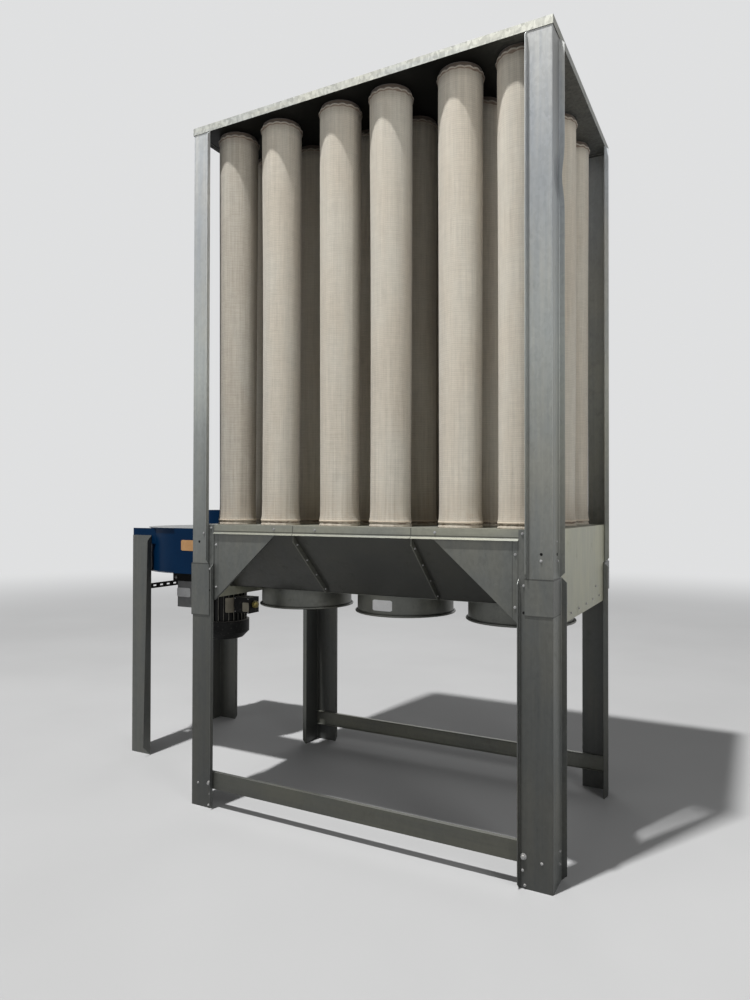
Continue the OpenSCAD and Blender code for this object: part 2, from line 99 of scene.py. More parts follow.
class Wire:
    """A socket of a node tree. Sums and products of wires add Math nodes."""

    def __init__(self, tree, socket=None):
        self.tree = tree
        self.socket = socket

    def node(self, kind, values=None, out=0, stops=None, **settings):
        """Adds a node: settings, then ramp stops, then values and links."""
        made = self.tree.nodes.new(kind)
        for name, value in settings.items():
            setattr(made, name, value)
        if stops:
            ramp = made.color_ramp
            while len(ramp.elements) < len(stops):
                ramp.elements.new(1.0)
            for element, (place, tone) in zip(ramp.elements, stops):
                element.position = place
                element.color = tone if len(tone) == 4 else (*tone, 1)
        for key, value in (values or {}).items():
            socket = made.inputs[key]
            if isinstance(value, Wire):
                self.tree.links.new(value.socket, socket)
            elif socket.type == "RGBA" and len(value) == 3:
                socket.default_value = (*value, 1)
            else:
                socket.default_value = value
        return Wire(self.tree, made.outputs[out] if made.outputs else made.inputs[0])

    def other(self, out):
        """Another output of the node that this wire comes from."""
        return Wire(self.tree, self.socket.node.outputs[out])

    def math(self, kind, *rest):
        """A Math node of that kind on this wire and the rest."""
        values = dict(enumerate((self,) + rest))
        return self.node("ShaderNodeMath", values, operation=kind)

    def __add__(self, value):
        return self.math("ADD", value)

    def __radd__(self, value):
        return self.math("ADD", value)

    def __sub__(self, value):
        return self.math("SUBTRACT", value)

    def __rsub__(self, value):
        return -self + value

    def __mul__(self, value):
        return self.math("MULTIPLY", value)

    def __rmul__(self, value):
        return self.math("MULTIPLY", value)

    def __truediv__(self, value):
        return self.math("DIVIDE", value)

    def __neg__(self):
        return self * -1.0

    def step(self, low, high, to_low=0.0, to_high=1.0):
        """Smooth step from to_low at low to to_high at high."""
        values = {"Value": self, "From Min": low, "From Max": high,
                  "To Min": to_low, "To Max": to_high}
        return self.node("ShaderNodeMapRange", values, interpolation_type="SMOOTHSTEP")

    def band(self, middle, half, soft):
        """1 within half of middle, falling to 0 over soft."""
        return (self - middle).math("ABSOLUTE").step(half, half + soft, 1.0, 0.0)

    def ramp(self, *stops):
        """Colour by (place, colour) stops."""
        return self.node("ShaderNodeValToRGB", {"Fac": self}, stops=stops)

    def blend(self, first, second):
        """Colour that goes from first to second as this wire goes from 0 to 1."""
        return self.node("ShaderNodeMix", {0: self, 6: first, 7: second}, out=2,
                         data_type="RGBA")

    def scaled(self, x, y, z):
        """This vector with its parts multiplied by x, y and z."""
        return self.node("ShaderNodeVectorMath", {0: self, 1: (x, y, z)}, operation="MULTIPLY")

    def noise(self, scale, detail=3.0, rough=0.5, warp=0.0):
        """Noise about 0.5 at this place."""
        values = {"Vector": self, "Scale": scale, "Detail": detail,
                  "Roughness": rough, "Distortion": warp}
        return self.node("ShaderNodeTexNoise", values)

    def cells(self, scale):
        """The random colour of the cell that this place lies in."""
        return self.node("ShaderNodeTexVoronoi", {"Vector": self, "Scale": scale}, out="Color")

    def split(self):
        """The x, y and z of this vector."""
        first = self.node("ShaderNodeSeparateXYZ", {0: self})
        return first, first.other("Y"), first.other("Z")


def finish_material(name, recipe):
    """A material whose recipe returns the shader's sockets by name."""
    made = bpy.data.materials.new(name)
    made.use_nodes = True
    tree = made.node_tree
    tree.nodes.clear()
    desk = Wire(tree)
    values = recipe(desk)
    shader = desk.node("ShaderNodeBsdfPrincipled", values, out="BSDF")
    desk.node("ShaderNodeOutputMaterial", {"Surface": shader})
    return made


def bumped(desk, height, strength, depth):
    """The normal on a surface roughened by height."""
    values = {"Height": height, "Strength": strength, "Distance": depth}
    return desk.node("ShaderNodeBump", values, out="Normal")


def object_place(desk):
    """Where a point lies in the row frame, in metres."""
    return desk.node("ShaderNodeTexCoord", out="Object")


def facing(desk, side=1):
    """How far a surface faces up, or down with side -1, from 0 to 1."""
    normal = desk.node("ShaderNodeNewGeometry", out="Normal")
    return (normal.split()[2] * float(side)).step(0.3, 0.95)


def greys(desk, level):
    """A grey of that level."""
    return desk.node("ShaderNodeCombineXYZ", {0: level, 1: level, 2: level})


def tinted(desk, first, second):
    """Two colours multiplied."""
    return desk.node("ShaderNodeVectorMath", {0: first, 1: second}, operation="MULTIPLY")


# Materials


def spread_x(x):
    """Distance to the left or right of the frame's middle."""
    return (x - SHIFT.x).math("ABSOLUTE")


def spread_y(y):
    """Distance to the front or back of the frame's middle."""
    return (y - (SHIFT.y + HALF_D)).math("ABSOLUTE")


def galvanised(name, tones, warm=0.0, grain=(42, 42, 1.4), metal=0.45, rough=0.5,
               spangle=1.0, grime=0.5, low=0.0, high=3.5, under=0.4, marks=None,
               shine=0.5, calm=1.0):
    """Zinc-coated sheet: streaks along the grain, spangle with painted glints, faint grime,
    painted shade on the undersides. tones are (height share, lightness) from low to high, in
    metres.
    marks adds this sheet's own marks and its painted light and shade, as a factor of darkness."""

    def recipe(desk):
        place = object_place(desk)
        x, y, z = place.split()
        tone = ((z - low) / (high - low)).ramp(*[(p, (v, v, v)) for p, v in tones])
        streak = place.scaled(*grain).noise(1.0, 4.0, 0.6)
        fine = place.scaled(*[g * 4.5 for g in grain]).noise(1.0, 3.0, 0.7)
        warped = place.node("ShaderNodeVectorMath", {
            0: place, 1: place.noise(14.0, 2.0).other("Color").scaled(0.03, 0.03, 0.05)})
        flake = warped.scaled(1, 1, 0.55).cells(95.0).split()[0]
        cloud = place.noise(2.3, 3.0, 0.55)
        dirt = place.noise(11.0, 5.0, 0.65).step(0.56, 0.74)
        # spark paints glints: tiny bright dots, as strong as the spangle.
        spark = place.noise(420.0, 2.0, 0.7).step(0.66, 0.8)
        level = (0.96 + ((streak - 0.5) * 0.36 + (cloud - 0.5) * 0.24) * calm
                 + (fine - 0.5) * 0.18 + (flake - 0.5) * (0.11 * spangle)
                 + spark * (0.16 * spangle))
        # under paints shade on whatever faces down.
        level = level * (1.0 - dirt * (0.22 * grime)) * (1.0 - facing(desk, -1) * under)
        if marks:
            level = level * (1.0 - marks(desk, x, y, z))
        grey = (cloud + (streak - 0.5) * 0.6).step(0.35, 0.7).blend(
            (0.93 + 0.06 * warm, 0.98, 1.0 - 0.2 * warm),
            (0.99 + 0.03 * warm, 1.0, 0.95 - 0.19 * warm))
        # cool paints a reflection: the sheets turn bluer towards the top and yellower at the foot.
        cool = desk.node("ShaderNodeCombineXYZ", {0: 1.0, 1: 1.0, 2: z.step(1.9, 3.2, 0.94, 1.02)})
        base = tinted(desk, tinted(desk, tone, tinted(desk, grey, cool)), greys(desk, level))
        gloss = rough + (flake - 0.5) * 0.10 + (fine - 0.5) * 0.16 + dirt * 0.14
        height = streak * 0.6 + fine * 0.5 + cloud * 1.6
        return {"Base Color": base, "Metallic": metal, "Roughness": gloss,
                "Specular IOR Level": shine, "Normal": bumped(desk, height, 0.2, 0.0012)}

    return finish_material(name, recipe)


def gusset_marks(desk, x, y, z):
    """Two fold lines beside the legs, darkened with painted shade."""
    away, inner, outer = spread_x(x), 0.7655, 0.7895
    return away.band(inner, 0.0011, 0.0012) * 0.45 + away.band(outer, 0.002, 0.002) * 0.3


def base_marks(desk, x, y, z):
    """Painted shade along the fold above the flared lip, and dark lines where two bases meet."""
    fold = 1.4030
    joint = spread_x(x).band(SEAM_X / 1000, 0.0014, 0.0012)
    return (z.band(fold, 0.0028, 0.002) * 0.6).math("MAXIMUM", joint * 0.7)


def seam_marks(desk, x, y, z):
    """Painted light on the flanges where two bays' sloping sheets meet, with painted highlights
    along their edges.
    """
    run, drop = SLOPE_FAR - SLOPE_NEAR, SLOPE_TOP - SLOPE_LOW
    length = math.hypot(run, drop)
    seam = spread_x(x).band(SEAM_X / 1000, 0.0032, 0.0015)
    inward = (FRAME_D / 2 - SLOPE_NEAR) / 1000 - spread_y(y)
    below = inward * -round(drop / length, 3) - (z - SLOPE_TOP / 1000) * round(run / length, 3)
    return -(seam * 0.7 + seam * below.step(0.0195, 0.0215) * 1.2)


def splice_marks(desk, x, y, z):
    """Painted shadow lines along the joint plates' upper and lower edges."""
    top, foot, longer_foot = 1.2375, 1.0915, 0.9755
    longer = (x - SHIFT.x).step(0.01, -0.01) * (y - SHIFT.y).step(HALF_D + 0.01, HALF_D - 0.01)
    low = z.band(foot, 0.0016, 0.0014) * (1.0 - longer) + z.band(longer_foot, 0.0016, 0.0014)
    return (low + z.band(top, 0.0018, 0.0016)) * 0.5


def edge_marks(lip, side, top, back):
    """Marks that lighten the outward lips, the side flanges and what stands at
    the back by shares; the side flanges' share changes to top under the tray.
    Matched to the photo's shading, as the posts' and legs' tones by height are."""

    def marks(desk, x, y, z):
        out, deep = spread_x(x), spread_y(y)
        lips = out.step(HALF_W + 0.0005, HALF_W + 0.002)
        lips = lips.math("MAXIMUM", deep.step(HALF_D + 0.0005, HALF_D + 0.002))
        inner = deep.step(HALF_D - 0.004, HALF_D - 0.006)
        flank = out.step(HALF_W - 0.0025, HALF_W - 0.001) * inner * (1.0 - lips)
        flank = flank * z.step(2.7, 3.35, side, top)
        return -(lips * lip + flank + (y - SHIFT.y).step(0.8, 1.1) * back)

    return marks


def brace_marks(desk, x, y, z):
    """The back brace is lighter, matched to how the photo shades it."""
    return (y - SHIFT.y).step(0.3, 0.9) * -0.9


def tray_marks(desk, x, y, z):
    """Darkens the tray's underside, less at its right end, and dulls that end's
    rim. Matched to the photo's shading, so part of it is light, not finish."""
    under = facing(desk, -1) * (x - SHIFT.x).step(0.90, 0.55) * 0.92
    rim = (x - SHIFT.x).step(HALF_W + 0.0005, HALF_W + 0.002)
    return under.math("MAXIMUM", rim * 0.45)


def stand_marks(desk, x, y, z):
    """The front lip is darker than the flange beside it."""
    return (y - SHIFT.y - (STAND_FRONT - 1) / 1000).step(0.0, -0.004) * 0.25


WARP_PITCH, WEFT_PITCH, RIB_PITCH = 0.0042, 0.0040, 0.0086  # metres, in the cloth


def bag_cloth(desk):
    """Woven filter cloth: fine grid, faint ribs, dusty mottling, brown hems, painted shade in its
    folds and under the tray.
    """
    place = object_place(desk)
    uv = desk.node("ShaderNodeTexCoord", out="UV")
    u, v, _ = uv.split()
    z = place.split()[2]
    fold = desk.node("ShaderNodeAttribute", attribute_name="fold", out="Fac")
    shade_and_tone = desk.node("ShaderNodeAttribute", attribute_name="shade_and_tone", out="Fac")
    wander = uv.noise(9.0, 2.0) * 2.4
    warp = (u * (math.tau / WARP_PITCH) + wander).math("SINE")
    weft = (v * (math.tau / WEFT_PITCH) + wander).math("SINE")
    rib = (v * (math.tau / RIB_PITCH) + wander * 0.7).math("SINE")
    weave = warp * weft
    slub = uv.scaled(230, 5, 1).noise(1.0, 3.0, 0.6)
    crease = uv.scaled(75, 1.6, 1).noise(1.0, 2.0, 0.6, 0.4)
    ends = z.step(1.95, 1.46) + z.step(3.05, 3.42)
    cross = uv.scaled(8, 190, 1).noise(1.0, 3.0, 0.6)
    cloud = place.scaled(1, 1, 0.35).noise(5.0, 4.0, 0.6)
    dust = place.noise(26.0, 4.0, 0.7)
    # The fold and crease terms paint shade: darker in the cloth's valleys and creases, lighter on
    # its ridges. The per-bag attribute paints each bag's shade, with a random tone of its own.
    level = (0.93 + weave * 0.045 + rib * 0.04 + (slub - 0.5) * 0.36 + (cross - 0.5) * 0.24
             + (cloud - 0.5) * 0.38 + (dust - 0.5) * 0.20 + fold * 0.09 + shade_and_tone * 0.07
             + (crease - 0.5) * (0.18 + 0.25 * ends) - z.step(3.0, 1.5) * 0.07)
    tone = cloud.step(0.35, 0.68).blend((0.578, 0.520, 0.428), (0.532, 0.496, 0.422))
    tone = tinted(desk, tone, greys(desk, level))
    ripple = (place.noise(34.0, 3.0) - 0.5) * 0.010
    patchy = place.noise(21.0, 3.0).step(0.38, 0.62, 0.25, 1.0)
    groove = (z + ripple).band(TIE_Z / 1000 + 0.001, 0.0022, 0.0035) * patchy * 0.8
    bead = (z + ripple).band(BEAD_Z / 1000 + 0.0005, 0.0025, 0.003) * 0.55
    # cuff paints the tray's shade on the cloth above the rim, darkest at the very top.
    cuff = z.step(3.4335, 3.437) * 0.9 + z.step(3.37, 3.428) * 0.42
    scallop = z - fold * 0.0167
    rim = scallop.band(3.4235, 0.0012, 0.0014) * 0.75 + scallop.band(3.4345, 0.001, 0.0014) * 0.6
    foot = z.step(1.66, 1.46) * dust.step(0.3, 0.7, 0.10, 0.34)
    tone = foot.blend(tone, (0.26, 0.18, 0.115))
    tone = groove.blend(tone, (0.105, 0.062, 0.036))
    tone = bead.blend(tone, (0.64, 0.53, 0.41))
    tone = cuff.blend(tone, (0.10, 0.074, 0.055))
    tone = rim.blend(tone, (0.100, 0.058, 0.036))
    height = (weave * 0.5 + rib * 0.45 + slub * 1.3 + cross * 0.9
              + (crease - 0.5) * (1.5 + 6.0 * ends))
    return {"Base Color": tone, "Roughness": 0.93, "Sheen Weight": 0.12,
            "Sheen Roughness": 0.6, "Normal": bumped(desk, height, 0.4, 0.001)}


def fan_paint(desk):
    """Dark blue paint with dust lying on what faces up."""
    place = object_place(desk)
    orange_peel = place.noise(160.0, 2.0)
    wear = place.noise(7.0, 5.0, 0.65)
    scuff = place.scaled(60, 60, 8).noise(1.0, 3.0, 0.6).step(0.66, 0.8)
    dust = facing(desk) * (0.24 + place.noise(5.0, 5.0, 0.6) * 0.5)
    tone = wear.blend((0.0002, 0.011, 0.038), (0.0008, 0.019, 0.056))
    tone = (scuff * 0.2).blend(tone, (0.03, 0.055, 0.10))
    tone = dust.blend(tone, (0.38, 0.37, 0.34))
    rough = 0.36 + (wear - 0.5) * 0.2 + dust * 0.5
    return {"Base Color": tone, "Roughness": rough, "Specular IOR Level": 0.06,
            "Normal": bumped(desk, orange_peel, 0.12, 0.0006)}


def dusty_paint(dark, light, rough=0.5, dusty=0.5, shine=0.5):
    """Plain machine paint from dark to light patches, with some dust on top."""

    def recipe(desk):
        place = object_place(desk)
        patch = place.noise(9.0, 5.0, 0.62)
        speck = place.noise(70.0, 3.0, 0.6).step(0.6, 0.75)
        dust = facing(desk) * dusty * (0.5 + place.noise(16.0, 4.0, 0.7))
        tone = patch.step(0.3, 0.7).blend(dark, light)
        tone = (speck * 0.22).blend(tone, (0.30, 0.28, 0.25))
        tone = dust.blend(tone, (0.42, 0.40, 0.37))
        gloss = rough + (patch - 0.5) * 0.22 + dust * 0.3
        return {"Base Color": tone, "Roughness": gloss, "Specular IOR Level": shine,
                "Normal": bumped(desk, place.noise(120.0, 2.0), 0.15, 0.0006)}

    return recipe


# Lightness by share of the height. It holds the photo's light as well as the
# finish: posts and legs are one zinc-coated sheet.
POST_TONES = [(0.0, 0.115), (0.34, 0.135), (0.44, 0.178), (0.52, 0.22), (0.63, 0.285), (0.82, 0.27),
              (1.0, 0.34)]
LEG_TONES = [(0.0, 0.062), (0.2, 0.073), (0.36, 0.102), (1.0, 0.102)]

steel_post = galvanised("galvanised_post", POST_TONES, grain=(46, 46, 1.5),
                        marks=edge_marks(0.45, 0.35, -0.3, 0.4))
# A lighter copy of the posts' tones for the left posts: painted light on the same sheet.
LIT_POST_TONES = [(p, v * (1.42 if p > 0.6 else 1.12)) for p, v in POST_TONES]
steel_post_lit = galvanised("galvanised_post_lit", LIT_POST_TONES, grain=(46, 46, 1.5),
                        marks=edge_marks(0.3, 0.0, 0.0, 0.0))
steel_leg = galvanised("galvanised_leg", LEG_TONES, grain=(46, 46, 1.3), rough=0.45,
                       marks=edge_marks(0.35, 0.9, 0.9, 0.1))
# Like the posts and legs, these sheets are all one zinc-coated steel: their different tones hold
# painted light and shade as well as the finish.
steel_splice = galvanised("galvanised_splice", [(0.0, 0.115), (1.0, 0.115)], grain=(30, 30, 6),
                          rough=0.45, marks=splice_marks)
steel_stand = galvanised("galvanised_stand", [(0.0, 0.11), (1.0, 0.118)], grain=(46, 46, 1.3),
                         rough=0.45, marks=stand_marks)
steel_tray = galvanised("galvanised_tray", [(0.0, 0.44), (1.0, 0.46)], warm=0.45,
                        grain=(1.6, 40, 40), low=3.40, high=3.49, under=0.69, marks=tray_marks,
                        spangle=3.6, shine=0.12, calm=0.6)
steel_base = galvanised("galvanised_base", [(0.0, 0.166), (0.4, 0.195), (1.0, 0.24)], warm=0.5,
                        grain=(2.0, 40, 40), low=1.3, high=1.45, marks=base_marks)
# The hopper's sloping sheets face down, and their much darker tones are painted shade.
steel_slope = galvanised("galvanised_hopper", [(0.0, 0.055), (1.0, 0.065)], warm=0.4,
                         grain=(6, 6, 3), rough=0.42, spangle=0.7, low=1.0, high=1.4,
                         marks=seam_marks)
steel_gusset = galvanised("galvanised_gusset", [(0.0, 0.104), (1.0, 0.130)], warm=0.1,
                          grain=(20, 20, 5), rough=0.42, low=1.0, high=1.4,
                          marks=gusset_marks)
steel_panel = galvanised("galvanised_end", [(0.0, 0.335), (1.0, 0.37)], warm=0.8,
                         grain=(24, 24, 4), low=1.0, high=1.45)
steel_ring = galvanised("galvanised_ring", [(0.0, 0.115), (1.0, 0.145)], warm=0.3,
                        grain=(9, 9, 22), rough=0.4, grime=1.2, low=0.95, high=1.1)
steel_brace = galvanised("galvanised_brace", [(0.0, 0.076), (1.0, 0.084)], warm=0.4,
                         grain=(1.6, 40, 40), low=0.0, high=0.3, marks=brace_marks)


def motor_paint(desk):
    """Dusty grey cast metal, with painted shade near black down between the cooling fins."""
    place = object_place(desk)
    centre = (-(FAN_X / 1000 + SHIFT.x), -(FAN_Y / 1000 + SHIFT.y), 0)
    away = place.node("ShaderNodeVectorMath", {0: place, 1: centre}).scaled(1, 1, 0)
    away = away.node("ShaderNodeVectorMath", {0: away}, out="Value", operation="LENGTH")
    patch = place.scaled(40, 40, 4).noise(1.0, 4.0, 0.6)
    edge = patch.step(0.3, 0.7).blend((0.085, 0.085, 0.078), (0.22, 0.21, 0.18))
    # Near black at the fins' roots, fading to the grey at their edges: painted shade between the
    # fins.
    fins = away.step((MOTOR_R + 3.5) / 1000, (MOTOR_R + FIN_H - 1) / 1000)
    tone = fins.blend((0.004, 0.004, 0.004), edge)
    return {"Base Color": tone, "Roughness": 0.5 + (patch - 0.5) * 0.3,
            "Specular IOR Level": 0.2, "Normal": bumped(desk, patch, 0.15, 0.0006)}


def plain_finish(name, dark, light, rough=0.5, dusty=0.5, shine=0.5):
    """Grey machine paint between two levels."""
    return finish_material(name, dusty_paint((dark,) * 3, (light,) * 3, rough, dusty, shine))


zinc = plain_finish("zinc_screw", 0.22, 0.34, 0.35)
shadow = plain_finish("hole_dark", 0.008, 0.02, 0.9, 0.0, 0.0)
cloth = finish_material("filter_cloth", bag_cloth)
navy = finish_material("fan_blue", fan_paint)
black = plain_finish("black_paint", 0.006, 0.014, 0.55, 0.5, 0.12)
motor_grey = finish_material("motor_paint", motor_paint)
wheel_grey = plain_finish("wheel_paint", 0.10, 0.18, 0.5, 0.6)
box_grey = plain_finish("box_paint", 0.16, 0.24, 0.5, 0.5)
blank_white = plain_finish("blank_plate", 0.66, 0.80, 0.45, 0.2)
beige = finish_material(
    "dusty_beige", dusty_paint((0.17, 0.15, 0.115), (0.27, 0.25, 0.19), 0.6, 0.3))
blank_tan = finish_material(
    "blank_tan", dusty_paint((0.36, 0.19, 0.07), (0.44, 0.25, 0.11), 0.5, 0.2))
gland = finish_material(
    "gland_ochre", dusty_paint((0.16, 0.13, 0.03), (0.26, 0.21, 0.06), 0.5, 0.3))

for node, material in {
    "top_tray": steel_tray, "bag_base_1": steel_base, "bag_base_2": steel_base,
    "bag_base_3": steel_base, "splices": steel_splice, "hopper_front_1": steel_slope,
    "hopper_front_2": steel_slope, "hopper_front_3": steel_slope,
    "hopper_back_1": steel_slope, "hopper_back_2": steel_slope,
    "hopper_back_3": steel_slope, "outlet_1": steel_ring, "outlet_2": steel_ring,
    "outlet_3": steel_ring, "end_panel_left": steel_panel, "end_panel_right": steel_panel,
    "gussets_front": steel_gusset, "gussets_back": steel_gusset,
    "brace_front": steel_brace, "brace_back": steel_brace, "fan_duct": steel_panel,
    "top_caps": black, "fan_housing": navy, "fan_inlet": navy, "fan_wheel": wheel_grey,
    "fan_stool": black, "fan_motor": motor_grey, "motor_cowl": black,
    "terminal_box": black, "switch_box": box_grey, "fan_strut": black,
}.items():
    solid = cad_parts[node]
    solid.data.materials.clear()
    solid.data.materials.append(material)


# Pieces


def piece(name, points, faces, material, nodes=(), smooth=False, turn_out=True):
    """A mesh from millimetre points that rides on the root and stands for nodes.
    turn_out makes its faces point outwards, where they don't do so already."""
    mesh = bpy.data.meshes.new(name)
    mesh.from_pydata([tuple(p) for p in placed(points)], [], faces)
    if turn_out:
        work = bmesh.new()
        work.from_mesh(mesh)
        bmesh.ops.recalc_face_normals(work, faces=work.faces)
        work.to_mesh(mesh)
        work.free()
    mesh.polygons.foreach_set("use_smooth", [smooth] * len(mesh.polygons))
    mesh.materials.append(material)
    made = bpy.data.objects.new(name, mesh)
    bpy.context.scene.collection.objects.link(made)
    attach(made, "root")
    if nodes:
        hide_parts(*nodes)
    return made


def rounded(line, radius, steps=4):
    """The line with each inner corner turned into an arc."""
    line = [np.asarray(p, float) for p in line]
    path = [line[0]]
    for before, corner, after in zip(line, line[1:], line[2:]):
        a = (before - corner) / np.linalg.norm(before - corner)
        b = (after - corner) / np.linalg.norm(after - corner)
        half = math.acos(np.clip(a @ b, -1, 1)) / 2
        reach = radius / math.tan(half)
        centre = corner + (a + b) / np.linalg.norm(a + b) * radius / math.sin(half)
        start, end = corner + a * reach - centre, corner + b * reach - centre
        for i in range(steps + 1):
            mixed = start * (1 - i / steps) + end * i / steps
            path.append(centre + mixed / np.linalg.norm(mixed) * radius)
    return np.array(path + [line[-1]])


def sheet_sides(path, thick):
    """Both faces of a sheet whose middle follows the path."""
    along = np.gradient(path, axis=0)
    along /= np.linalg.norm(along, axis=1)[:, None]
    normal = np.stack([-along[:, 1], along[:, 0]], 1) * thick / 2
    return path + normal, path - normal


def strip_faces(count, rings):
    """Faces of a closed extrusion of a strip with count points on each face."""
    loop = list(range(count)) + list(range(2 * count - 1, count - 1, -1))
    faces = []
    for r in range(rings - 1):
        low, high = r * 2 * count, (r + 1) * 2 * count
        faces += [(low + a, low + b, high + b, high + a)
                  for a, b in zip(loop, loop[1:] + loop[:1])]
    for base, turn in ((0, 1), ((rings - 1) * 2 * count, -1)):
        for i in range(count - 1):
            face = (base + i, base + count + i, base + count + i + 1, base + i + 1)
            faces.append(face[::turn])
    return faces


# Posts and legs

FOLD_R, TRIM_FROM = 3.6, 0.6
DENT_Z, DENT_H, DENT_REACH, DENT_RINGS = 2880, 75, 230, 47
DENT_IN, DENT_BACK = 11, 3  # how far the flange's edge is pushed in and drawn back


def column(name, x, y, sx, sy, face, side, low, high, material, dent=None, lips=None):
    """Folded L section with outward lips whose ends are trimmed at 45 degrees.
    lips are the front lip's widths at the foot and at the top."""
    half = POST_T / 2
    line = [(face - half, -LIP), (face - half, half), (half, half),
            (half, side - half), (-LIP, side - half)]
    outer, inner = sheet_sides(rounded(line, FOLD_R), POST_T)
    section = np.concatenate([outer, inner])
    shares = [0.0, 1.0]
    if dent:
        shares = sorted({0.0, 1.0} | set(
            np.clip((dent + np.linspace(-DENT_REACH, DENT_REACH, DENT_RINGS) - low)
                    / (high - low), 0, 1)))
    points = []
    for share in shares:
        px, py = section[:, 0].copy(), section[:, 1].copy()
        if lips:
            py[py < 0] *= lips[int(share)] / LIP
        trim = np.maximum(0, -np.minimum(px, py) - TRIM_FROM)
        z = low + trim + share * (high - low - 2 * trim)
        if dent:
            push = np.exp(-((z - dent) / DENT_H) ** 2)
            edge = np.clip((py - side * 0.55) / (side * 0.45), 0, 1) ** 2
            px += DENT_IN * push * edge
            py -= DENT_BACK * push * edge
        points.append(np.stack([x - sx * px, y - sy * py, z], 1))
    return piece(name, np.concatenate(points), strip_faces(len(outer), len(shares)),
                 material, [name])


for end, sx in (("left", -1), ("right", 1)):
    for side, sy, y in (("front", -1, 0), ("back", 1, FRAME_D)):
        x = sx * SIDE_X
        bent = DENT_Z if (side, end) == ("front", "right") else None
        column(f"post_{side}_{end}", x, y, sx, sy, POST_FACE, POST_FACE,
               JOINT_Z, TRAY_Z, steel_post_lit if end == "left" else steel_post, bent)
        column(f"leg_{side}_{end}", x, y, sx, sy, LEG_FACE, LEG_FACE, 0, JOINT_Z, steel_leg)
column("fan_leg_front", STAND_X, STAND_FRONT, -1, -1, STAND_FACE, POST_FACE, 0, STAND_H,
       steel_stand, lips=STAND_LIPS)
column("fan_leg_back", STAND_X, STAND_BACK, -1, 1, LEG_FACE, POST_FACE, 0, STAND_H, steel_leg)


# Bags

BODY_ROWS, PLEATS = 36, 16
BODY_R = BAG_R - 0.8
OUTER_STEPS, INNER_STEPS = 96, 64  # points round the bags of outer and inner rows

# Change of a bag's radius by height: narrow above its tie, full at the top.
WAIST_Z = (BASE_Z, 1466, 1500, 1700, 2200, 2700, 3150, 3400)
WAIST = (-2.2, -2.2, -7.0, -6.2, -4.2, -2.6, -0.4, 0.0)

# Rows of points up the rim: reach past the body, height, share of the pleats.
RIM = ((1.5, 3422, 0.4), (4.5, 3424.5, 0.9), (6, 3427, 1), (6, 3430, 1), (5, 3432.5, 1),
       (2, 3435, 0.5), (-2.5, 3438, 0), (-3, 3446, 0), (-3.2, BAG_TOP, 0))

# Cloth darker or lighter by place, matched to the photo's shading: the front
# row from left to right, the rows behind it, and those rows' bags at the right.
FRONT_SHADES, ROW_SHADES, END_SHADE = (-3.5, -0.5, 0, 0, 0, 0.3), (-1.7, -2.2, -1.0), 1.0


def bag_profile():
    """Heights up a bag from its hem to the foot of the pleated rim."""
    hem = [1437.6, 1441, 1445.5, 1449, 1453, 1457, 1460, 1463, 1467, 1474]
    return hem + list(np.linspace(1490, 3395, BODY_ROWS)) + [3408, 3416, 3420]


